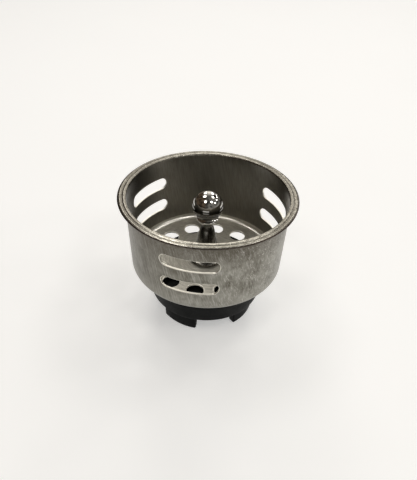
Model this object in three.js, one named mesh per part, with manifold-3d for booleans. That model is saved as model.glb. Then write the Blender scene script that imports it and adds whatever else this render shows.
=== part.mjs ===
// Sink basket strainer, millimetres, +Z up. A pressed stainless basket with a flanged lip,
// wall slots and floor holes turns on the spigot of a chromed ball knob. The knob is clamped
// to a castellated rubber stopper by one screw from below, with a spring washer and a wide
// backing washer. The origin is on the axis, on the plane that the stopper's teeth stand on.

import * as THREE from 'three';
import { mergeVertices } from 'three/addons/utils/BufferGeometryUtils.js';
import Module from 'manifold-3d';

const wasm = await Module();
wasm.setup();

// ---- Driving dimensions -------------------------------------------------------------
const HEIGHT = 32.5; // teeth to the top of the lip
const LIP_RADIUS = 21.25; // half of the 42.5 mm overall width
const SHEET = 0.5; // stainless sheet
const GAP = 0.05; // running and stacking clearance

// Basket
const FLOOR_TOP = 13.0;
const FLOOR_BOTTOM = FLOOR_TOP - SHEET;
const WALL_RADIUS_TOP = 19.5; // outside, just under the lip
const WALL_RADIUS_BOTTOM = 18.6; // outside, where the floor fillet begins
const FLOOR_FILLET = 1.8; // outside radius of the bend between wall and floor
const LIP_DEPTH = 0.55; // lip top to the flat under it
const LIP_FLAT_INNER = 20.0; // the flat ring under the lip
const LIP_FLAT_OUTER = 21.0;
const LIP_ROOT_Z = HEIGHT - 1.3; // where the lip's underside meets the wall
const BASKET_SEGMENTS = 64;

// Wall slots: three groups of two, one above the other
const SLOT_GROUP_ANGLES = [-101.2, 20.2, 147.5]; // centre of each group, degrees
const SLOT_ARC = 41; // end to end, degrees
const SLOT_HEIGHT = 3.1;
const SLOT_ROWS = [HEIGHT - 6.8, HEIGHT - 13.15]; // middle of each row

// Floor holes
const HOLE_COUNT = 12;
const HOLE_CIRCLE = 12.55;
const HOLE_RADIUS = 1.97;
const HOLE_PHASE = 19.2; // angle of the first hole, degrees
const SPIGOT_RADIUS = 2.6; // the knob's spigot, on which the basket turns

// Knob
const BALL_RADIUS = 3.75;
const BALL_Z = HEIGHT - 0.05 - BALL_RADIUS;
const KNOB_SEGMENTS = 32;
const SCREW_RADIUS = 1.45; // plain stand-in for the thread
const SCREW_TIP_Z = 16.0;

// Stopper
const SEAT_RADIUS_TOP = 14.6; // widest part of the sealing cone
const SEAT_RADIUS_BOTTOM = 13.9;
const BAND_BOTTOM = 4.6; // underside of the sealing band, where the teeth start
const WEB_BOTTOM = 8.6;
const HOLLOW_RADIUS = 10.4;
const TOOTH_COUNT = 4;
const TOOTH_ARC = 46; // degrees, at the root
const TOOTH_FIRST = -121.5; // centre of the first tooth, degrees
const TOOTH_ROOT_RADIUS = 12.5;
const TOOTH_TIP_RADIUS = 12.35;
const TOOTH_DRAFT = 1.0; // degrees that each tooth end leans in towards its tip
const STOPPER_SEGMENTS = 64;

// Fasteners under the stopper
const BACKING_RADIUS = 5.5;
const BACKING_THICKNESS = 0.8;
const SPRING_RADIUS = 3.0;
const SPRING_THICKNESS = 0.8;
const SPRING_SPLIT = 0.7;
const HEAD_RADIUS = 2.8;
const HEAD_HEIGHT = 1.9;
const RECESS_DEPTH = 1.2;
const RECESS_WIDTH = 0.8;
const RECESS_LENGTH = 3.2;

const radians = THREE.MathUtils.degToRad;

// ---- Solids ---------------------------------------------------------------------------
function toSolid(geometry) {
  const bare = geometry.index ? geometry.clone() : geometry;
  bare.deleteAttribute('normal');
  bare.deleteAttribute('uv');
  const merged = mergeVertices(bare, 1e-4);
  const index = merged.index.array;
  const kept = [];
  for (let i = 0; i < index.length; i += 3) {
    const [a, b, c] = [index[i], index[i + 1], index[i + 2]];
    if (a !== b && b !== c && c !== a) kept.push(a, b, c);
  }
  const mesh = new wasm.Mesh({
    numProp: 3,
    vertProperties: new Float32Array(merged.attributes.position.array),
    triVerts: new Uint32Array(kept),
  });
  return new wasm.Manifold(mesh);
}

function toGeometry(solid) {
  const mesh = solid.getMesh();
  const geometry = new THREE.BufferGeometry();
  geometry.setAttribute('position', new THREE.BufferAttribute(mesh.vertProperties, 3));
  geometry.setIndex(new THREE.BufferAttribute(mesh.triVerts, 1));
  geometry.computeVertexNormals();
  return geometry;
}

function cutAll(solid, cutters) {
  return cutters.reduce((rest, cutter) => rest.subtract(cutter), solid);
}

// Points of an arc about (cx, cz), from one angle to another in degrees.
function arc(cx, cz, radius, from, to, steps) {
  const points = [];
  for (let i = 0; i <= steps; i += 1) {
    const a = radians(from + ((to - from) * i) / steps);
    points.push([cx + radius * Math.cos(a), cz + radius * Math.sin(a)]);
  }
  return points;
}

// A solid of revolution about Z. The profile runs anticlockwise in (radius, z).
function revolve(profile, segments) {
  const points = profile.map(([r, z]) => new THREE.Vector2(Math.max(r, 0), z));
  const lathe = new THREE.LatheGeometry(points, segments);
  lathe.rotateX(Math.PI / 2);
  return toSolid(lathe);
}

function ring(inner, outer, bottom, top, segments) {
  return revolve(
    [[inner, bottom], [outer, bottom], [outer, top], [inner, top], [inner, bottom]],
    segments,
  );
}

function uprightCylinder(radius, bottom, top, segments, x = 0, y = 0) {
  const cylinder = new THREE.CylinderGeometry(radius, radius, top - bottom, segments);
  cylinder.rotateX(Math.PI / 2);
  cylinder.translate(x, y, (top + bottom) / 2);
  return toSolid(cylinder);
}

function block(width, depth, height, x, y, z) {
  const box = new THREE.BoxGeometry(width, depth, height);
  box.translate(x, y, z);
  return toSolid(box);
}

function ringOfPositions(count, radius, firstAngle) {
  return Array.from({ length: count }, (_, i) => {
    const a = radians(firstAngle + (360 / count) * i);
    return [radius * Math.cos(a), radius * Math.sin(a)];
  });
}

// ---- Basket ---------------------------------------------------------------------------
function basketProfile() {
  const innerTop = WALL_RADIUS_TOP - SHEET;
  const innerBottom = WALL_RADIUS_BOTTOM - SHEET;
  const filletCentre = [WALL_RADIUS_BOTTOM - FLOOR_FILLET, FLOOR_BOTTOM + FLOOR_FILLET];
  const innerFillet = FLOOR_FILLET - SHEET;
  const lipUnder = HEIGHT - LIP_DEPTH;
  return [
    [0, FLOOR_BOTTOM],
    ...arc(...filletCentre, FLOOR_FILLET, -90, 0, 5),
    [WALL_RADIUS_TOP, LIP_ROOT_Z],
    [WALL_RADIUS_TOP + 0.15, lipUnder - 0.25],
    [LIP_FLAT_INNER, lipUnder],
    [LIP_FLAT_OUTER, lipUnder],
    [LIP_RADIUS, lipUnder + 0.15],
    [LIP_RADIUS, HEIGHT - 0.3],
    [LIP_RADIUS - 0.2, HEIGHT - 0.12],
    [LIP_RADIUS - 0.6, HEIGHT],
    [innerTop + 0.6, HEIGHT],
    [innerTop + 0.2, HEIGHT - 0.25],
    [innerTop, HEIGHT - 1.1],
    ...arc(...filletCentre, innerFillet, 0, -90, 5),
    [0, FLOOR_TOP],
  ];
}

// A round-ended slot bent round the wall, as a cutter that runs through the sheet.
function slotCutter(centreAngle, z) {
  const radius = SLOT_HEIGHT / 2;
  const midWall = (WALL_RADIUS_TOP + WALL_RADIUS_BOTTOM - SHEET) / 2;
  const straight = radians(SLOT_ARC) * midWall - SLOT_HEIGHT;
  const steps = 8;
  const outline = new THREE.Shape();
  for (let i = 0; i <= steps; i += 1) outline.lineTo((i / steps - 0.5) * straight, -radius);
  for (const [x, z_] of arc(straight / 2, 0, radius, -90, 90, 8)) outline.lineTo(x, z_);
  for (let i = 0; i <= steps; i += 1) outline.lineTo((0.5 - i / steps) * straight, radius);
  for (const [x, z_] of arc(-straight / 2, 0, radius, 90, 270, 8)) outline.lineTo(x, z_);
  outline.curves.shift(); // the first line starts from the shape's own origin
  const depth = 6;
  const slot = new THREE.ExtrudeGeometry(outline, { depth, bevelEnabled: false });
  const place = slot.attributes.position;
  for (let i = 0; i < place.count; i += 1) {
    const angle = radians(centreAngle) + place.getX(i) / midWall;
    const r = midWall - depth / 2 + place.getZ(i);
    place.setXYZ(i, r * Math.cos(angle), r * Math.sin(angle), z + place.getY(i));
  }
  return toSolid(slot);
}

function basketSolid() {
  const cutters = [];
  for (const angle of SLOT_GROUP_ANGLES) {
    for (const z of SLOT_ROWS) cutters.push(slotCutter(angle, z));
  }
  for (const [x, y] of ringOfPositions(HOLE_COUNT, HOLE_CIRCLE, HOLE_PHASE)) {
    cutters.push(uprightCylinder(HOLE_RADIUS, FLOOR_BOTTOM - 1, FLOOR_TOP + 1, 20, x, y));
  }
  const centreHole = SPIGOT_RADIUS + GAP;
  cutters.push(uprightCylinder(centreHole, FLOOR_BOTTOM - 1, FLOOR_TOP + 1, KNOB_SEGMENTS));
  return cutAll(revolve(basketProfile(), BASKET_SEGMENTS), cutters);
}

// ---- Knob -----------------------------------------------------------------------------
function knobSolid() {
  const boreTop = SCREW_TIP_Z + 0.5;
  const bore = SCREW_RADIUS + GAP;
  const spigotBottom = FLOOR_BOTTOM - 1.5;
  const footBottom = FLOOR_TOP + GAP;
  const collarZ = HEIGHT - 7.45;
  return revolve(
    [
      [0, boreTop],
      [bore, boreTop],
      [bore, spigotBottom],
      [SPIGOT_RADIUS, spigotBottom],
      [SPIGOT_RADIUS, footBottom],
      [4.1, footBottom],
      ...arc(4.0, footBottom + 0.4, 0.4, -60, 80, 4),
      [3.45, footBottom + 1.05],
      [3.0, footBottom + 2.0],
      [2.55, footBottom + 3.8],
      [2.2, footBottom + 6.2],
      [1.8, footBottom + 8.6],
      [1.4, HEIGHT - 9.5],
      [1.45, HEIGHT - 8.9],
      [1.9, HEIGHT - 8.2],
      [2.45, collarZ - 0.3],
      [2.6, collarZ],
      [2.45, collarZ + 0.3],
      ...arc(0, BALL_Z, BALL_RADIUS, -52, 90, 11),
    ],
    KNOB_SEGMENTS,
  );
}

// ---- Stopper --------------------------------------------------------------------------
function stopperBand() {
  const top = FLOOR_BOTTOM - GAP;
  const spigotPocket = SPIGOT_RADIUS + GAP;
  const pocketBottom = FLOOR_BOTTOM - 1.5 - GAP;
  const screwHole = SCREW_RADIUS + 0.2;
  return revolve(
    [
      [screwHole, WEB_BOTTOM],
      [HOLLOW_RADIUS - 0.6, WEB_BOTTOM],
      [HOLLOW_RADIUS, WEB_BOTTOM - 0.6],
      [HOLLOW_RADIUS, BAND_BOTTOM],
      [SEAT_RADIUS_BOTTOM - 0.35, BAND_BOTTOM],
      [SEAT_RADIUS_BOTTOM, BAND_BOTTOM + 0.35],
      [SEAT_RADIUS_TOP, 9.1],
      [SEAT_RADIUS_TOP - 0.2, 9.7],
      [13.2, 11.2],
      [12.6, 11.6],
      [6.2, top],
      [spigotPocket, top],
      [spigotPocket, pocketBottom],
      [screwHole, pocketBottom],
      [screwHole, WEB_BOTTOM],
    ],
    STOPPER_SEGMENTS,
  );
}

// One tooth: a sector of the skirt whose ends lean in towards the tip.
function toothSolid(centreAngle) {
  const steps = 9;
  const rootZ = BAND_BOTTOM + 0.2; // bites into the band
  const rings = [
    { z: 0, half: TOOTH_ARC / 2 - TOOTH_DRAFT, outer: TOOTH_TIP_RADIUS },
    { z: rootZ, half: TOOTH_ARC / 2, outer: TOOTH_ROOT_RADIUS },
  ];
  const outline = new THREE.Shape();
  for (let i = 0; i <= steps; i += 1) outline.lineTo(i / steps, 0);
  for (let i = 0; i <= steps; i += 1) outline.lineTo(1 - i / steps, 1);
  outline.curves.shift();
  const tooth = new THREE.ExtrudeGeometry(outline, { depth: 1, bevelEnabled: false });
  const place = tooth.attributes.position;
  for (let i = 0; i < place.count; i += 1) {
    const level = rings[Math.round(place.getZ(i))];
    const angle = radians(centreAngle + (place.getX(i) * 2 - 1) * level.half);
    const r = place.getY(i) > 0.5 ? HOLLOW_RADIUS : level.outer;
    place.setXYZ(i, r * Math.cos(angle), r * Math.sin(angle), level.z);
  }
  tooth.index = null;
  return toSolid(tooth);
}

function stopperSolid() {
  let solid = stopperBand();
  for (let i = 0; i < TOOTH_COUNT; i += 1) {
    solid = solid.add(toothSolid(TOOTH_FIRST + (360 / TOOTH_COUNT) * i));
  }
  return solid;
}

// ---- Fasteners ------------------------------------------------------------------------
const BACKING_TOP = WEB_BOTTOM - GAP;
const SPRING_TOP = BACKING_TOP - BACKING_THICKNESS - GAP;
const HEAD_TOP = SPRING_TOP - SPRING_THICKNESS - GAP;

function backingWasherSolid() {
  const bottom = BACKING_TOP - BACKING_THICKNESS;
  return ring(SCREW_RADIUS + 0.2, BACKING_RADIUS, bottom, BACKING_TOP, KNOB_SEGMENTS);
}

function springWasherSolid() {
  const bottom = SPRING_TOP - SPRING_THICKNESS;
  const whole = ring(SCREW_RADIUS + 0.15, SPRING_RADIUS, bottom, SPRING_TOP, KNOB_SEGMENTS);
  const split = block(SPRING_RADIUS + 1, SPRING_SPLIT, 3, (SPRING_RADIUS + 1) / 2, 0, SPRING_TOP);
  return whole.subtract(split);
}

function screwSolid() {
  const headBottom = HEAD_TOP - HEAD_HEIGHT;
  const body = revolve(
    [
      [0, headBottom],
      [HEAD_RADIUS - 0.9, headBottom],
      [HEAD_RADIUS - 0.25, headBottom + 0.3],
      [HEAD_RADIUS, headBottom + 0.9],
      [HEAD_RADIUS, HEAD_TOP],
      [SCREW_RADIUS, HEAD_TOP],
      [SCREW_RADIUS, SCREW_TIP_Z - 0.5],
      [SCREW_RADIUS - 0.5, SCREW_TIP_Z],
      [0, SCREW_TIP_Z],
    ],
    32,
  );
  const depth = RECESS_DEPTH + 1;
  const z = headBottom + RECESS_DEPTH - depth / 2;
  return cutAll(body, [
    block(RECESS_LENGTH, RECESS_WIDTH, depth, 0, 0, z),
    block(RECESS_WIDTH, RECESS_LENGTH, depth, 0, 0, z),
  ]);
}

// ---- Materials and assembly -----------------------------------------------------------
function stainless(roughness) {
  return new THREE.MeshStandardMaterial({ color: 0x9a958c, roughness, metalness: 1 });
}

function chrome() {
  return new THREE.MeshStandardMaterial({ color: 0xd8d8d8, roughness: 0.06, metalness: 1 });
}

function blackRubber() {
  return new THREE.MeshStandardMaterial({ color: 0x161817, roughness: 0.55, metalness: 0 });
}

function named(name, solid, material) {
  const mesh = new THREE.Mesh(toGeometry(solid), material);
  mesh.name = name;
  return mesh;
}

const knobUnit = new THREE.Group();
knobUnit.add(
  named('ball_knob', knobSolid(), chrome()),
  named('rubber_stopper', stopperSolid(), blackRubber()),
  named('backing_washer', backingWasherSolid(), stainless(0.35)),
  named('spring_washer', springWasherSolid(), stainless(0.3)),
  named('clamp_screw', screwSolid(), stainless(0.25)),
);

const strainer = new THREE.Group();
strainer.add(named('strainer_basket', basketSolid(), stainless(0.4)), knobUnit);

export default strainer;
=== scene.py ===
"""Looks for the sink basket strainer: a pressed stainless basket, a chromed ball knob and a
castellated rubber stopper with its washers and screw. Lengths in the constants are millimetres."""
import math

import bmesh
import bpy
from mathutils import Matrix, Quaternion, Vector


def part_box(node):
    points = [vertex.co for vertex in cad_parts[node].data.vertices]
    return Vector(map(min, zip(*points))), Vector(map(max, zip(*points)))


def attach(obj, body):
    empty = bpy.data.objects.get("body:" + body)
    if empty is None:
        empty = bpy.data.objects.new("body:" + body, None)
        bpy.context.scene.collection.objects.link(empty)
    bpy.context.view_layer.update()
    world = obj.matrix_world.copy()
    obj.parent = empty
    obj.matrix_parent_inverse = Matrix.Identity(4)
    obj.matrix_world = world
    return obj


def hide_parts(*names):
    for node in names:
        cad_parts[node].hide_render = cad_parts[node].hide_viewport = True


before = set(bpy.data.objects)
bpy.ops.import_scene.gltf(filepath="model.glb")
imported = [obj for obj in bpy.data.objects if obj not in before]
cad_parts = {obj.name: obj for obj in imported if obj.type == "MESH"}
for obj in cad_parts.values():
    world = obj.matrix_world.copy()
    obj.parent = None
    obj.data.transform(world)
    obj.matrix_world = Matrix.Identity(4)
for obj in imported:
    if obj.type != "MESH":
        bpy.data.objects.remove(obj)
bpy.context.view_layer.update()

MM = 0.001
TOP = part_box("strainer_basket")[1][2] / MM  # top of the lip
LIP_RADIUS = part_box("strainer_basket")[1][0] / MM
FLOOR_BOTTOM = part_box("strainer_basket")[0][2] / MM

# Basket, as in the design
SHEET = 0.5
FLOOR_TOP = FLOOR_BOTTOM + SHEET
WALL_TOP_RADIUS = 19.5
WALL_BOTTOM_RADIUS = 18.6
FILLET = 1.8
LIP_ROOT = TOP - 1.3
SLOT_ANGLES = (-101.2, 20.2, 147.5)
SLOT_ARC = 41.0
SLOT_HEIGHT = 3.1
SLOT_ROWS = (TOP - 6.8, TOP - 13.15)
HOLE_COUNT = 12
HOLE_CIRCLE = 12.55
HOLE_RADIUS = 1.97
HOLE_PHASE = 19.2
SLOT_EDGE = 0.14  # rounding along punched edges
HOLE_EDGE = 0.24

# Knob
BALL_RADIUS = 3.75
BALL_Z = TOP - 0.05 - BALL_RADIUS
SPIGOT_RADIUS = 2.6
GAP = 0.05

# Stopper
BAND_BOTTOM = 4.6
WEB_BOTTOM = 8.6
HOLLOW_RADIUS = 10.4
SEAT_TOP_RADIUS = 14.6
SEAT_BOTTOM_RADIUS = 13.9
TOOTH_ROOT_RADIUS = 12.5
TOOTH_TIP_RADIUS = 12.35
TOOTH_FIRST = -121.5
TOOTH_ARC = 46.0
TOOTH_COUNT = 4
TOOTH_ENTRY = 0.3  # how far a tooth stands into the band

# Screw, washers and the bores they pass through
SCREW_RADIUS = 1.45
HEAD_RADIUS = 2.8
HEAD_HEIGHT = 1.9
RECESS_DEPTH = 1.2
RECESS_HALF_LENGTH = 1.6
RECESS_HALF_WIDTH = 0.4
STOPPER_BORE = 1.65
BACKING_BORE = 1.65
BACKING_RADIUS = 5.5
SPRING_BORE = 1.6
SPRING_RADIUS = 3.0
SPRING_HALF_SPLIT = 0.35
SPIGOT_LENGTH = 1.5  # below the underside of the floor
TAPPED_BORE = 1.5
TAPPED_TOP = 16.5

# Lip: two rounded ridges with a groove between them
GROOVE_RADIUS = 20.2


# ---- Mesh helpers ---------------------------------------------------------------------
def new_object(name, vertices, faces, material=None):
    mesh = bpy.data.meshes.new(name)
    mesh.from_pydata([(x * MM, y * MM, z * MM) for x, y, z in vertices], [], faces)
    mesh.validate()
    made = bpy.data.objects.new(name, mesh)
    bpy.context.scene.collection.objects.link(made)
    if material:
        mesh.materials.append(material)
    return made


def rounded(corners, step_degrees=9.0):
    """The outline through (r, z, radius) corners, with each corner turned into an arc."""
    points = []
    last = len(corners) - 1
    for i, (r, z, radius) in enumerate(corners):
        here = Vector((r, z))
        if radius <= 0 or i in (0, last):
            points.append((r, z))
            continue
        back = Vector(corners[i - 1][:2]) - here
        ahead = Vector(corners[i + 1][:2]) - here
        turn = math.pi - back.angle(ahead)
        if turn < 0.01:
            points.append((r, z))
            continue
        reach = min(radius * math.tan(turn / 2), 0.49 * back.length, 0.49 * ahead.length)
        radius = reach / math.tan(turn / 2)
        start = here + back.normalized() * reach
        centre = here + (back.normalized() + ahead.normalized()).normalized() * (
            radius / math.cos(turn / 2)
        )
        arm = start - centre
        side = 1 if back.cross(ahead) < 0 else -1
        steps = max(2, math.ceil(math.degrees(turn) / step_degrees))
        for k in range(steps + 1):
            arm_k = arm.copy()
            arm_k.rotate(Matrix.Rotation(side * turn * k / steps, 2))
            points.append(tuple(centre + arm_k))
    return points


def divided(points, longest):
    """The same outline with no stretch longer than the given length."""
    out = [points[0]]
    for (r0, z0), (r1, z1) in zip(points, points[1:]):
        parts = max(1, math.ceil(math.hypot(r1 - r0, z1 - z0) / longest))
        for k in range(1, parts + 1):
            out.append((r0 + (r1 - r0) * k / parts, z0 + (z1 - z0) * k / parts))
    return out


def lathe(name, outline, segments, material=None, centre=(0.0, 0.0)):
    """A closed solid of revolution. The outline starts and ends on the axis or on itself."""
    closed = math.dist(outline[0], outline[-1]) < 1e-6
    rings = outline[:-1] if closed else outline
    vertices, first = [], []
    for r, z in rings:
        first.append(len(vertices))
        if r < 1e-6:
            vertices.append((centre[0], centre[1], z))
            continue
        for j in range(segments):
            a = 2 * math.pi * j / segments
            vertices.append((centre[0] + r * math.cos(a), centre[1] + r * math.sin(a), z))
    faces = []
    pairs = list(zip(range(len(rings)), range(1, len(rings))))
    if closed:
        pairs.append((len(rings) - 1, 0))
    for low, high in pairs:
        pole_low, pole_high = rings[low][0] < 1e-6, rings[high][0] < 1e-6
        for j in range(segments):
            k = (j + 1) % segments
            corner = [first[low]] if pole_low else [first[low] + j, first[low] + k]
            corner += [first[high]] if pole_high else [first[high] + k, first[high] + j]
            if len(corner) > 2:
                faces.append(corner)
    return new_object(name, vertices, faces, material)


def soften(made, sharp_degrees=40.0):
    """Smooth shading, except over edges sharper than the given angle."""
    mesh = made.data
    work = bmesh.new()
    work.from_mesh(mesh)
    for face in work.faces:
        face.smooth = True
    for edge in work.edges:
        turn = edge.calc_face_angle(math.pi) if len(edge.link_faces) == 2 else math.pi
        edge.smooth = turn < math.radians(sharp_degrees)
    work.to_mesh(mesh)
    work.free()


def apply_modifiers(made):
    bpy.context.view_layer.update()
    ready = made.evaluated_get(bpy.context.evaluated_depsgraph_get())
    old = made.data
    made.data = bpy.data.meshes.new_from_object(ready)
    made.modifiers.clear()
    bpy.data.meshes.remove(old)


def combine(made, tools, operation):
    """Joins or cuts with each tool in turn, then removes the tools."""
    for tool in tools:
        step = made.modifiers.new("combine", "BOOLEAN")
        step.operation = operation
        step.solver = "EXACT"
        step.material_mode = "TRANSFER"
        step.object = tool
    apply_modifiers(made)
    for tool in tools:
        bpy.data.objects.remove(tool)


def weigh_normals(made):
    step = made.modifiers.new("normals", "WEIGHTED_NORMAL")
    step.mode = "FACE_AREA"
    step.weight = 50
    step.keep_sharp = True
    apply_modifiers(made)


def edge_levels(edge, thickness, reach):
    """(depth, offset) levels of a punched edge, rounded on both faces of the sheet."""
    turns = [math.radians(t) for t in (0, 22.5, 45, 67.5, 90)]
    front = [(edge * (1 - math.cos(t)), edge * (1 - math.sin(t))) for t in turns]
    back = [(thickness - depth, offset) for depth, offset in reversed(front)]
    return [(-reach, edge), *front, *back, (thickness + reach, edge)]


# ---- Materials ------------------------------------------------------------------------
class Nodes:
    """A short way to write the node tree of a material or a world."""

    def __init__(self, owner):
        owner.use_nodes = True
        self.owner = owner
        self.tree = owner.node_tree
        self.shader = self.tree.nodes.get("Principled BSDF")

    @classmethod
    def of_material(cls, name):
        return cls(bpy.data.materials.new(name))

    def add(self, kind, inputs=None, **settings):
        node = self.tree.nodes.new(kind)
        for key, value in settings.items():
            setattr(node, key, value)
        for key, value in (inputs or {}).items():
            self.put(value, node.inputs[key])
        return node

    def put(self, value, socket):
        if isinstance(value, bpy.types.NodeSocket):
            self.tree.links.new(value, socket)
        else:
            socket.default_value = value

    def math(self, operation, a, b=0.0):
        return self.add("ShaderNodeMath", {0: a, 1: b}, operation=operation).outputs[0]

    def mix(self, amount, low, high):
        """A blend of two colours."""
        node = self.add("ShaderNodeMix", {0: amount, 6: low, 7: high}, data_type="RGBA")
        return node.outputs[2]

    def blend(self, amount, low, high):
        """A blend of two numbers."""
        return self.add("ShaderNodeMix", {0: amount, 2: low, 3: high}).outputs[0]

    def spread(self, value, low, high, to_low, to_high):
        node = self.add("ShaderNodeMapRange", {0: value, 1: low, 2: high, 3: to_low, 4: to_high})
        return node.outputs[0]

    def place(self):
        """Object coordinates in millimetres."""
        where = self.add("ShaderNodeTexCoord").outputs["Object"]
        return self.add("ShaderNodeVectorMath", {0: where, 1: (1000.0,) * 3},
                        operation="MULTIPLY").outputs[0]

    def noise(self, where, scale, detail=3.0, roughness=0.55):
        inputs = {"Vector": where, "Scale": scale, "Detail": detail, "Roughness": roughness}
        return self.add("ShaderNodeTexNoise", inputs).outputs["Fac"]

    def stretched(self, where, x, y, z, turn=(0.0, 0.0, 0.0)):
        """Coordinates turned, then scaled along each axis."""
        turned = self.add("ShaderNodeVectorRotate", {"Vector": where, "Rotation": turn},
                          rotation_type="EULER_XYZ").outputs[0]
        return self.add("ShaderNodeVectorMath", {0: turned, 1: (x, y, z)},
                        operation="MULTIPLY").outputs[0]

    def radius(self, split):
        flat = self.add("ShaderNodeCombineXYZ", {0: split[0], 1: split[1]}).outputs[0]
        return self.add("ShaderNodeVectorMath", {0: flat}, operation="LENGTH").outputs["Value"]

    def rings(self, where, along, across):
        """Coordinates that vary slowly round the axis and fast across the turning marks."""
        split = self.add("ShaderNodeSeparateXYZ", {0: where}).outputs
        radius = self.radius(split)
        across_marks = self.math("MULTIPLY", self.math("SUBTRACT", split[2], radius), across)
        x = self.math("MULTIPLY", split[0], along)
        y = self.math("MULTIPLY", split[1], along)
        return self.add("ShaderNodeCombineXYZ", {0: x, 1: y, 2: across_marks}).outputs[0]

    def bump(self, height, strength, distance, below=None):
        inputs = {"Height": height, "Strength": strength, "Distance": distance}
        if below:
            inputs["Normal"] = below
        return self.add("ShaderNodeBump", inputs).outputs[0]


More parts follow.
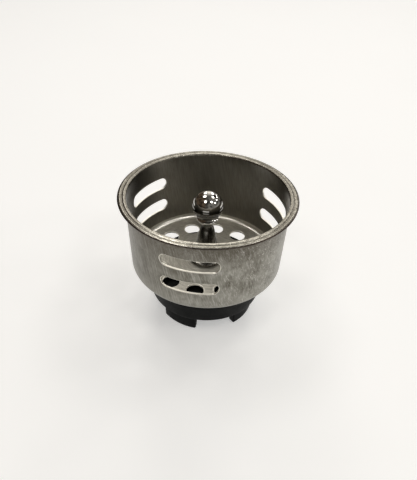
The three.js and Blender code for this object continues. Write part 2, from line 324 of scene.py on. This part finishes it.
def basket_steel():
    n = Nodes.of_material("basket_steel")
    where = n.place()
    split = n.add("ShaderNodeSeparateXYZ", {0: where}).outputs
    height, radius = split[2], n.radius(split)
    cloud = n.noise(where, 0.24, 3.0)
    mottle = n.noise(where, 0.62, 5.0, 0.66)
    speck = n.noise(where, 3.4, 4.0, 0.7)
    drawn = n.noise(n.stretched(where, 3.2, 3.2, 0.15, (0.06, 0.20, 0.0)), 1.0, 3.0, 0.6)
    scuff = n.noise(n.rings(where, 1.1, 6.0), 1.0, 3.0, 0.65)
    grain = n.noise(n.rings(where, 0.5, 9.0), 1.0, 3.0)
    scratch_map = n.stretched(where, 8.0, 2.5, 0.24, (0.0, 0.46, 0.0))
    scratch = n.spread(n.noise(scratch_map, 1.0, 2.0), 0.60, 0.70, 0.0, 1.0)
    worn_side = n.spread(split[0], -6.0, 8.0, 0.25, 1.0)
    scratch = n.math("MULTIPLY", scratch, worn_side)
    # satin sheet with a cloudy tone, fine stains and draw streaks; painted shade darkens it towards
    # -X
    base = n.mix(n.spread(cloud, 0.38, 0.62, 0.0, 1.0),
                 (0.165, 0.157, 0.130, 1), (0.300, 0.292, 0.258, 1))
    base = n.mix(n.spread(mottle, 0.46, 0.66, 0.0, 0.50), base, (0.098, 0.086, 0.067, 1))
    base = n.mix(n.spread(drawn, 0.48, 0.70, 0.0, 0.62), base, (0.48, 0.47, 0.43, 1))
    # painted shade: the sheet is darkened towards -X, the side that gets less light
    base = n.mix(n.spread(split[0], -4.0, -17.0, 0.0, 0.50), base, (0.085, 0.077, 0.062, 1))
    # painted shade under the lip, broken up by fine specks, and painted light making the wall paler
    # towards the bottom as a painted reflection of the bright floor
    # painted shade: the wall darkened under the lip
    below_lip = n.spread(height, TOP - 8.5, TOP - 1.6, 0.0, 1.0)
    shade = n.math("MULTIPLY", below_lip, n.spread(speck, 0.35, 0.65, 0.38, 1.0))
    base = n.mix(shade, base, (0.095, 0.083, 0.066, 1))
    # painted light: a paler band towards the bottom stands in for the floor's reflection
    painted_low_reflection = n.spread(height, FLOOR_BOTTOM + 5.5, FLOOR_BOTTOM + 1.0, 0.0, 0.35)
    base = n.mix(painted_low_reflection, base, (0.43, 0.42, 0.38, 1))
    base = n.mix(n.math("MULTIPLY", scratch, 0.55), base, (0.72, 0.70, 0.65, 1))
    # the cleaner inside of the wall, with painted shade darkening it towards -X; inside is 1 within
    # the sheet's inner half
    outside = n.spread(height, FLOOR_BOTTOM + FILLET, LIP_ROOT, WALL_BOTTOM_RADIUS, WALL_TOP_RADIUS)
    over = n.math("MAXIMUM", n.math("SUBTRACT", radius, n.math("SUBTRACT", outside, FILLET)), 0.0)
    under = n.math("MAXIMUM", n.math("SUBTRACT", FLOOR_BOTTOM + FILLET, height), 0.0)
    depth = n.math("ADD", n.math("MULTIPLY", over, over), n.math("MULTIPLY", under, under))
    inside = n.math("LESS_THAN", depth, (FILLET - SHEET / 2) ** 2)
    inner_wall_and_shade = n.mix(n.spread(drawn, 0.35, 0.7, 0.0, 1.0),
                  (0.25, 0.235, 0.205, 1), (0.33, 0.315, 0.275, 1))
    # painted shade on the inner wall towards -X
    inner_wall_and_shade = n.mix(n.spread(split[0], -12.5, -17.5, 0.0, 0.7), inner_wall_and_shade, (0.075, 0.070, 0.060, 1))
    base = n.mix(inside, base, inner_wall_and_shade)
    # the worn lip, with turning marks; painted shade darkens both sides, the groove and the outer
    # edge, which is painted dark brown
    lip = n.spread(height, TOP - 0.5, TOP - 0.3, 0.0, 1.0)
    worn = n.math("ADD", n.spread(scuff, 0.40, 0.66, 0.0, 0.7),
                  n.spread(mottle, 0.45, 0.6, -0.1, 0.3))
    lip_wear_and_shade = n.mix(worn, (0.86, 0.84, 0.75, 1), (0.22, 0.198, 0.16, 1))
    # painted shade: the lip darker at both sides, away from the front and back
    sideways = n.math("ABSOLUTE", split[0])
    lip_wear_and_shade = n.mix(n.spread(sideways, 3.0, 15.0, 0.0, 0.76), lip_wear_and_shade, (0.12, 0.108, 0.088, 1))
    # painted shade in the groove between the two ridges
    from_groove = n.math("ABSOLUTE", n.math("SUBTRACT", radius, GROOVE_RADIUS))
    lip_wear_and_shade = n.mix(n.spread(from_groove, 0.06, 0.22, 0.65, 0.0), lip_wear_and_shade, (0.10, 0.09, 0.072, 1))
    base = n.mix(lip, base, lip_wear_and_shade)
    # painted shade: a dark brown line along the lip's outer edge
    outer = n.math("MULTIPLY", n.spread(radius, 20.92, 21.06, 0.0, 1.0),
                   n.spread(height, TOP - 0.05, TOP - 0.13, 0.0, 1.0))
    outer = n.math("MULTIPLY", outer, n.spread(mottle, 0.35, 0.65, 0.97, 0.8))
    base = n.mix(outer, base, (0.040, 0.026, 0.020, 1))
    # the floor is painted paler than the wall as painted light, over its own grain, and dull where
    # flat; the bend round it is painted near white as a painted highlight
    floor = n.spread(height, FLOOR_TOP + 0.9, FLOOR_TOP + 1.3, 1.0, 0.0)
    # painted light: the floor's grain lifted to a paler tone
    pale = n.mix(n.spread(grain, 0.42, 0.60, 0.0, 1.0),
                 (0.47, 0.455, 0.405, 1), (0.70, 0.68, 0.615, 1))
    base = n.mix(n.math("MULTIPLY", floor, inside), base, pale)
    flat = n.spread(height, FLOOR_TOP + 0.02, FLOOR_TOP + 0.12, 1.0, 0.0)
    # painted highlight along the bend round the floor
    bend = n.math("MULTIPLY", n.math("MULTIPLY", floor, inside), n.math("SUBTRACT", 1.0, flat))
    base = n.mix(bend, base, (0.95, 0.93, 0.85, 1))
    n.put(base, n.shader.inputs["Base Color"])
    n.shader.inputs["Metallic"].default_value = 1.0
    sheet = n.math("ADD", n.spread(speck, 0.3, 0.7, 0.27, 0.40),
                   n.spread(cloud, 0.3, 0.7, -0.03, 0.05))
    sheet = n.blend(lip, sheet, n.spread(scuff, 0.3, 0.7, 0.20, 0.34))
    dull = n.spread(speck, 0.3, 0.7, 0.46, 0.62)
    n.put(n.blend(flat, sheet, dull), n.shader.inputs["Roughness"])
    first = n.bump(grain, 0.20, 0.00002)
    second = n.bump(drawn, 0.30, 0.00005, first)
    third = n.bump(mottle, 0.25, 0.00006, second)
    n.put(n.bump(scratch, 0.3, 0.00002, third), n.shader.inputs["Normal"])
    return n.owner


def cut_steel():
    n = Nodes.of_material("cut_steel")
    where = n.place()
    burr = n.noise(where, 5.0, 3.0)
    # bare cut metal, partly painted highlight: the edges are painted near white to stand in for the
    # highlights along the rims of the slots and holes
    n.put(n.mix(burr, (0.72, 0.70, 0.61, 1), (0.97, 0.95, 0.88, 1)), n.shader.inputs["Base Color"])
    n.shader.inputs["Metallic"].default_value = 1.0
    n.put(n.spread(burr, 0.3, 0.7, 0.30, 0.45), n.shader.inputs["Roughness"])
    n.put(n.bump(burr, 0.3, 0.00003), n.shader.inputs["Normal"])
    return n.owner


def knob_chrome():
    n = Nodes.of_material("knob_chrome")
    where = n.place()
    height = n.add("ShaderNodeSeparateXYZ", {0: where}).outputs[2]
    haze = n.noise(where, 0.9, 3.0)
    wave = n.noise(where, 0.55, 1.0)
    streak = n.noise(n.stretched(where, 3.5, 3.5, 0.25), 1.0, 3.0)
    stem = n.spread(height, TOP - 9.0, TOP - 8.0, 1.0, 0.0)
    bright = n.mix(haze, (0.58, 0.57, 0.55, 1), (0.68, 0.67, 0.64, 1))
    # painted shade darkens the ball below its middle, and the stem is painted dark as shade, with
    # streaks
    # painted shade on the lower half of the ball, a painted dark reflection of the basket's inside
    low = n.spread(height, BALL_Z + 0.3, BALL_Z + 1.2, 0.85, 0.0)
    low = n.math("MULTIPLY", low, n.spread(height, BALL_Z - 3.1, BALL_Z - 2.6, 0.0, 1.0))
    bright = n.mix(low, bright, (0.09, 0.085, 0.075, 1))
    # painted shade: the stem darkened, with streaks
    stem_shade = n.mix(n.spread(streak, 0.4, 0.65, 0.0, 1.0),
                (0.10, 0.096, 0.085, 1), (0.28, 0.27, 0.245, 1))
    n.put(n.mix(stem, bright, stem_shade), n.shader.inputs["Base Color"])
    n.shader.inputs["Metallic"].default_value = 1.0
    n.put(n.blend(stem, n.spread(haze, 0.35, 0.7, 0.035, 0.09), 0.20), n.shader.inputs["Roughness"])
    n.put(n.bump(wave, 0.25, 0.00012), n.shader.inputs["Normal"])
    return n.owner


def black_rubber():
    n = Nodes.of_material("black_rubber")
    where = n.place()
    skin = n.noise(where, 6.0, 4.0, 0.65)
    bloom = n.noise(where, 0.35, 3.0)
    fleck = n.spread(n.noise(where, 2.4, 2.0), 0.66, 0.74, 0.0, 0.6)
    base = n.mix(bloom, (0.0028, 0.0032, 0.0032, 1), (0.006, 0.0068, 0.0065, 1))
    base = n.mix(fleck, base, (0.020, 0.022, 0.021, 1))
    n.shader.inputs["Specular IOR Level"].default_value = 0.09
    n.put(base, n.shader.inputs["Base Color"])
    n.put(n.spread(bloom, 0.3, 0.7, 0.42, 0.58), n.shader.inputs["Roughness"])
    n.put(n.bump(skin, 0.3, 0.00006), n.shader.inputs["Normal"])
    return n.owner


def fastener_steel(name, colour, roughness):
    n = Nodes.of_material(name)
    where = n.place()
    marks = n.noise(n.rings(where, 0.8, 9.0), 1.0, 2.0)
    stain = n.noise(where, 0.7, 3.0)
    dull = tuple(0.72 * c for c in colour[:3]) + (1,)
    n.put(n.mix(stain, dull, colour), n.shader.inputs["Base Color"])
    n.shader.inputs["Metallic"].default_value = 1.0
    n.put(n.spread(stain, 0.3, 0.7, roughness, roughness + 0.14), n.shader.inputs["Roughness"])
    n.put(n.bump(marks, 0.3, 0.00003), n.shader.inputs["Normal"])
    return n.owner


# ---- Basket ---------------------------------------------------------------------------
def wall_radius(z):
    """Outside radius of the tapered wall."""
    bottom = FLOOR_BOTTOM + FILLET
    share = (z - bottom) / (LIP_ROOT - bottom)
    return WALL_BOTTOM_RADIUS + (WALL_TOP_RADIUS - WALL_BOTTOM_RADIUS) * share


def basket_outline():
    corner_out = wall_radius(FLOOR_BOTTOM)
    corner_in = wall_radius(FLOOR_TOP) - SHEET
    return divided(rounded([
        (0, FLOOR_BOTTOM, 0),
        (corner_out, FLOOR_BOTTOM, FILLET),
        (WALL_TOP_RADIUS, LIP_ROOT, 0.6),
        (19.65, TOP - 0.55, 0.25),
        (21.1, TOP - 0.55, 0.1),
        (LIP_RADIUS, TOP - 0.42, 0.1),
        (LIP_RADIUS, TOP - 0.24, 0.06),
        (21.05, TOP - 0.13, 0.12),
        (20.65, TOP, 0.5),
        (GROOVE_RADIUS, TOP - 0.15, 0.4),
        (19.8, TOP, 0.5),
        (19.25, TOP - 0.07, 0.25),
        (WALL_TOP_RADIUS - SHEET + 0.1, TOP - 0.45, 0.3),
        (WALL_TOP_RADIUS - SHEET, LIP_ROOT - 0.5, 1.0),
        (corner_in, FLOOR_TOP, FILLET - SHEET),
        (0, FLOOR_TOP, 0),
    ]), 0.7)


def slot_cutter(angle, z_mid, height, material):
    """A round-ended slot through the tapered wall, with both punched edges rounded."""
    mid = wall_radius(z_mid) - SHEET / 2
    straight = math.radians(SLOT_ARC) * mid - height
    ends, sides = 18, 40
    vertices, faces = [], []
    for depth, offset in edge_levels(SLOT_EDGE, SHEET, 3.5):
        radius = height / 2 + offset
        lower = [(-straight / 2 + straight * k / sides, -radius) for k in range(sides + 1)]
        turn = [math.radians(-90 + 180 * k / ends) for k in range(1, ends)]
        right = [(straight / 2 + radius * math.cos(t), radius * math.sin(t)) for t in turn]
        upper = [(-u, radius) for u, _ in lower]
        left = [(-u, -v) for u, v in right]
        for u, v in (*lower, *right, *upper, *left):
            a = math.radians(angle) + u / mid
            r = wall_radius(z_mid + v) - depth
            vertices.append((r * math.cos(a), r * math.sin(a), z_mid + v))
    count = 2 * (sides + 1) + 2 * (ends - 1)
    levels = len(vertices) // count
    for level in range(levels - 1):
        low, high = level * count, (level + 1) * count
        for i in range(count):
            j = (i + 1) % count
            faces.append((low + j, low + i, high + i, high + j))
    # each cap is a strip of quads from the lower edge to the upper one, and one face per end
    for base, flip in ((0, False), ((levels - 1) * count, True)):
        top = sides + ends
        cap = [[base + i, base + i + 1, base + top + sides - i - 1, base + top + sides - i]
               for i in range(sides)]
        cap.append([base + i for i in range(sides, top + 1)])
        cap.append([base + i % count for i in range(top + sides, count + 1)])
        faces += [face[::-1] for face in cap] if flip else cap
    return new_object("slot_cutter", vertices, faces, material)


def hole_cutter(x, y, radius, material, segments=48):
    outline = [(0, FLOOR_TOP + 1.5)]
    outline += [(radius + offset, FLOOR_TOP - depth)
                for depth, offset in edge_levels(HOLE_EDGE, SHEET, 1.5)]
    outline.append((0, FLOOR_BOTTOM - 1.5))
    return lathe("hole_cutter", outline[::-1], segments, material, (x, y))


def make_basket(steel, edge):
    basket = lathe("basket_shell", basket_outline(), 256, steel)
    tools = [slot_cutter(angle, z, SLOT_HEIGHT, edge) for angle in SLOT_ANGLES for z in SLOT_ROWS]
    for k in range(HOLE_COUNT):
        a = math.radians(HOLE_PHASE + 360 / HOLE_COUNT * k)
        tools.append(hole_cutter(HOLE_CIRCLE * math.cos(a), HOLE_CIRCLE * math.sin(a),
                                 HOLE_RADIUS, edge))
    tools.append(hole_cutter(0, 0, SPIGOT_RADIUS + GAP, edge, 64))
    combine(basket, tools, "DIFFERENCE")
    soften(basket, 50)
    weigh_normals(basket)
    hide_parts("strainer_basket")
    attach(basket, "basket")
    return basket


# ---- Knob -----------------------------------------------------------------------------
def make_knob(chrome):
    foot = FLOOR_TOP + GAP
    spigot = FLOOR_BOTTOM - SPIGOT_LENGTH
    collar = TOP - 7.45
    stem = rounded([
        (0, TAPPED_TOP, 0),
        (TAPPED_BORE, TAPPED_TOP, 0),
        (TAPPED_BORE, spigot, 0.1),
        (SPIGOT_RADIUS, spigot, 0.15),
        (SPIGOT_RADIUS, foot, 0),
        (4.3, foot, 0.2),
        (4.3, foot + 0.7, 0.3),
        (3.55, foot + 1.0, 0.4),
        (3.0, foot + 2.2, 1.5),
        (2.45, foot + 5.6, 6.0),
        (1.75, foot + 9.0, 4.0),
        (1.38, TOP - 9.4, 0.6),
        (1.5, TOP - 8.7, 0.5),
        (2.3, collar - 0.45, 0.4),
        (2.62, collar - 0.2, 0.15),
        (2.62, collar + 0.2, 0.15),
        (2.3, collar + 0.4, 0.1),
    ])
    start = -math.degrees(math.acos(2.15 / BALL_RADIUS))
    ball = []
    for k in range(41):
        a = math.radians(start + (90 - start) * k / 40)
        ball.append((BALL_RADIUS * math.cos(a) if k < 40 else 0, BALL_Z + BALL_RADIUS * math.sin(a)))
    knob = lathe("knob_casting", divided(stem, 0.4) + ball, 96, chrome)
    soften(knob, 35)
    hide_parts("ball_knob")
    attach(knob, "knob_unit")
    return knob


# ---- Stopper --------------------------------------------------------------------------
def band_outline():
    top = FLOOR_BOTTOM - GAP
    pocket = SPIGOT_RADIUS + GAP
    pocket_floor = FLOOR_BOTTOM - SPIGOT_LENGTH - GAP
    screw = STOPPER_BORE
    points = rounded([
        (screw, WEB_BOTTOM + 1.0, 0),
        (screw, WEB_BOTTOM, 0.15),
        (HOLLOW_RADIUS, WEB_BOTTOM, 0.8),
        (HOLLOW_RADIUS, BAND_BOTTOM, 0.1),
        (SEAT_BOTTOM_RADIUS, BAND_BOTTOM, 0.45),
        (SEAT_TOP_RADIUS, 9.4, 0.7),
        (13.1, 11.35, 0.8),
        (6.2, top, 1.5),
        (pocket, top, 0.1),
        (pocket, pocket_floor, 0),
        (screw, pocket_floor, 0),
        (screw, WEB_BOTTOM + 1.0, 0),
    ])
    return divided(points, 0.6)


def tooth(angle, material):
    """One tooth of the skirt, with rounded edges, standing a little way into the band."""
    levels = [(0.0, TOOTH_ARC / 2 - 1.0, TOOTH_TIP_RADIUS),
              (BAND_BOTTOM + TOOTH_ENTRY, TOOTH_ARC / 2, TOOTH_ROOT_RADIUS)]
    steps = 16
    vertices, faces = [], []
    for z, half, outer in levels:
        for r in (outer, HOLLOW_RADIUS + 0.02):
            for k in range(steps + 1):
                a = math.radians(angle + half * (2 * k / steps - 1))
                vertices.append((r * math.cos(a), r * math.sin(a), z))
    row = steps + 1
    out_low, in_low, out_high, in_high = 0, row, 2 * row, 3 * row
    for k in range(steps):
        faces.append((out_low + k, out_low + k + 1, out_high + k + 1, out_high + k))
        faces.append((in_low + k + 1, in_low + k, in_high + k, in_high + k + 1))
        faces.append((out_low + k + 1, out_low + k, in_low + k, in_low + k + 1))
        faces.append((out_high + k, out_high + k + 1, in_high + k + 1, in_high + k))
    faces.append((out_low, out_high, in_high, in_low))
    faces.append((out_low + steps, in_low + steps, in_high + steps, out_high + steps))
    made = new_object("tooth", vertices, faces, material)
    step = made.modifiers.new("edge", "BEVEL")
    step.width = 0.4 * MM
    step.segments = 4
    step.limit_method = "ANGLE"
    step.angle_limit = math.radians(50)
    apply_modifiers(made)
    return made


def make_stopper(rubber):
    stopper = lathe("stopper_moulding", band_outline(), 192, rubber)
    teeth = [tooth(TOOTH_FIRST + 360 / TOOTH_COUNT * k, rubber) for k in range(TOOTH_COUNT)]
    combine(stopper, teeth, "UNION")
    soften(stopper, 40)
    weigh_normals(stopper)
    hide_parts("rubber_stopper")
    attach(stopper, "knob_unit")
    return stopper


# ---- Fasteners ------------------------------------------------------------------------
def ring_outline(inner, outer, bottom, top, edge):
    middle = (inner + outer) / 2
    return rounded([
        (middle, bottom, 0),
        (outer, bottom, edge),
        (outer, top, edge),
        (inner, top, edge),
        (inner, bottom, edge),
        (middle, bottom, 0),
    ], 18)


def block(name, low, high, material):
    corners = [(x, y, z) for x in (low[0], high[0]) for y in (low[1], high[1])
               for z in (low[2], high[2])]
    faces = [(0, 1, 3, 2), (4, 6, 7, 5), (0, 4, 5, 1), (2, 3, 7, 6), (0, 2, 6, 4), (1, 5, 7, 3)]
    return new_object(name, corners, faces, material)


def make_fasteners():
    backing_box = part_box("backing_washer")
    spring_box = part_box("spring_washer")
    screw_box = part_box("clamp_screw")
    steel = fastener_steel("washer_steel", (0.52, 0.51, 0.49, 1), 0.3)
    spring_steel = fastener_steel("spring_steel", (0.40, 0.40, 0.41, 1), 0.32)
    screw_steel = fastener_steel("screw_steel", (0.60, 0.59, 0.57, 1), 0.2)
    low, high = backing_box[0][2] / MM, backing_box[1][2] / MM
    backing = lathe("washer_plate", ring_outline(BACKING_BORE, BACKING_RADIUS, low, high, 0.12),
                    128, steel)
    soften(backing)
    low, high = spring_box[0][2] / MM, spring_box[1][2] / MM
    spring = lathe("spring_ring", ring_outline(SPRING_BORE, SPRING_RADIUS, low, high, 0.08),
                   96, spring_steel)
    split = block("split", (0, -SPRING_HALF_SPLIT, low - 1), (4, SPRING_HALF_SPLIT, high + 1),
                  spring_steel)
    combine(spring, [split], "DIFFERENCE")
    soften(spring)
    low, high = screw_box[0][2] / MM, screw_box[1][2] / MM
    head = low + HEAD_HEIGHT
    screw = lathe("screw_body", divided(rounded([
        (0, low, 0), (2.2, low, 1.4), (HEAD_RADIUS, low + 0.7, 0.8), (HEAD_RADIUS, head, 0.12),
        (SCREW_RADIUS, head, 0), (SCREW_RADIUS, high - 0.5, 0.1), (0.95, high, 0.05), (0, high, 0),
    ]), 0.6), 96, screw_steel)
    long, wide, deep = RECESS_HALF_LENGTH, RECESS_HALF_WIDTH, low + RECESS_DEPTH
    cross = [
        block("cross_x", (-long, -wide, low - 1), (long, wide, deep), screw_steel),
        block("cross_y", (-wide, -long, low - 1), (wide, long, deep), screw_steel),
    ]
    combine(screw, cross, "DIFFERENCE")
    soften(screw)
    for piece, node, slot in ((backing, "backing_washer", "washer_steel"),
                              (spring, "spring_washer", "spring_steel"),
                              (screw, "clamp_screw", "screw_steel")):
        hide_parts(node)
        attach(piece, "knob_unit")


# ---- Stage, light and camera ----------------------------------------------------------
def make_stage():
    """A pale light table."""
    n = Nodes.of_material("pale_floor")
    mottle = n.noise(n.place(), 0.02, 2.0)
    n.put(n.mix(mottle, (0.80, 0.80, 0.79, 1), (0.83, 0.83, 0.82, 1)), n.shader.inputs["Base Color"])
    n.shader.inputs["Roughness"].default_value = 0.7
    n.shader.inputs["Specular IOR Level"].default_value = 0.2
    n.shader.inputs["Emission Color"].default_value = (1.0, 1.0, 0.99, 1)
    n.shader.inputs["Emission Strength"].default_value = 0.42
    floor = lathe("studio_floor", [(0, -0.2), (1500, -0.2), (1500, 0), (0, 0)], 64, n.owner)


def lamp(name, place, width, radiance, colour):
    """A round soft lamp at a place in millimetres, turned to the strainer."""
    area = math.pi / 4 * (width * MM) ** 2
    data = bpy.data.lights.new(name, "AREA")
    data.shape = "DISK"
    data.size = width * MM
    data.energy = radiance * math.pi * area
    data.color = colour
    made = bpy.data.objects.new(name, data)
    made.location = Vector(place) * MM
    made.rotation_mode = "QUATERNION"
    made.rotation_quaternion = Vector(place).to_track_quat("Z", "Y")
    bpy.context.scene.collection.objects.link(made)


def make_sky():
    """A dim warm room, darker to the left, with a soft upright glow on the far side."""
    world = bpy.data.worlds.new("studio")
    n = Nodes(world)
    way = n.add("ShaderNodeTexCoord").outputs["Generated"]
    across, ahead, up = n.add("ShaderNodeSeparateXYZ", {0: way}).outputs
    from_middle = n.math("ABSOLUTE", n.math("SUBTRACT", across, 0.06))
    glow = n.spread(from_middle, 0.04, 0.42, 1.0, 0.0)
    glow = n.math("MULTIPLY", glow, n.spread(up, 0.10, 0.45, 0.0, 1.0))
    glow = n.math("MULTIPLY", glow, n.spread(up, 0.55, 0.90, 1.0, 0.25))
    glow = n.math("MULTIPLY", glow, n.spread(ahead, 0.15, 0.55, 0.0, 1.25))
    room = n.spread(across, -0.6, 0.9, 0.07, 0.22)
    clutter = n.noise(way, 3.0, 3.0)
    patch = n.spread(clutter, 0.38, 0.62, 0.15, 1.6)
    brown = n.math("MULTIPLY", n.spread(across, -0.15, -0.45, 0.0, 1.0),
                   n.spread(glow, 0.0, 0.3, 1.0, 0.0))
    strength = n.math("ADD", n.math("MULTIPLY", room, patch), glow)
    # the camera sees a plain backdrop; the room above only lights and reflects
    seen = n.add("ShaderNodeLightPath").outputs["Is Camera Ray"]
    strength = n.blend(seen, strength, 0.75)
    sky = n.tree.nodes["Background"]
    n.put(n.mix(brown, (1.0, 0.95, 0.87, 1), (1.0, 0.72, 0.50, 1)), sky.inputs["Color"])
    n.put(strength, sky.inputs["Strength"])
    bpy.context.scene.world = world


def make_light():
    make_sky()
    height = 500
    for column, width, radiance in ((0, 170, 4.6), (1, 150, 5.4), (2, 130, 7.0)):
        for row in range(4):
            place = ((-0.36 + 0.87 * column) * height, (-0.5 + 0.8 * row) * height, height)
            lamp(f"ceiling_lamp_{column}_{row}", place, width, radiance, (1.0, 0.97, 0.93))


def make_camera():
    distance, elevation, roll, aim_up = 120.8, 32.25, 1.99, 0.49
    e = math.radians(elevation)
    back = Vector((0, -math.cos(e), math.sin(e)))
    up = back.cross(Vector((1, 0, 0)))
    centre = Vector((0, 0, TOP))
    eye = centre + back * distance
    aim = centre + up * aim_up
    facing = (eye - aim).to_track_quat("Z", "Y")
    data = bpy.data.cameras.new("view")
    data.sensor_width = 36.0
    data.lens = 38.59
    data.shift_y = -0.104
    data.clip_start = 0.01
    data.clip_end = 10.0
    made = bpy.data.objects.new("view", data)
    made.rotation_mode = "QUATERNION"
    made.rotation_quaternion = facing @ Quaternion((0, 0, 1), math.radians(roll))
    made.location = eye * MM
    bpy.context.scene.collection.objects.link(made)
    bpy.context.scene.camera = made


make_camera()
make_stage()
make_light()
bpy.context.scene.view_settings.view_transform = "Standard"
make_basket(basket_steel(), cut_steel())
make_knob(knob_chrome())
make_stopper(black_rubber())
make_fasteners()
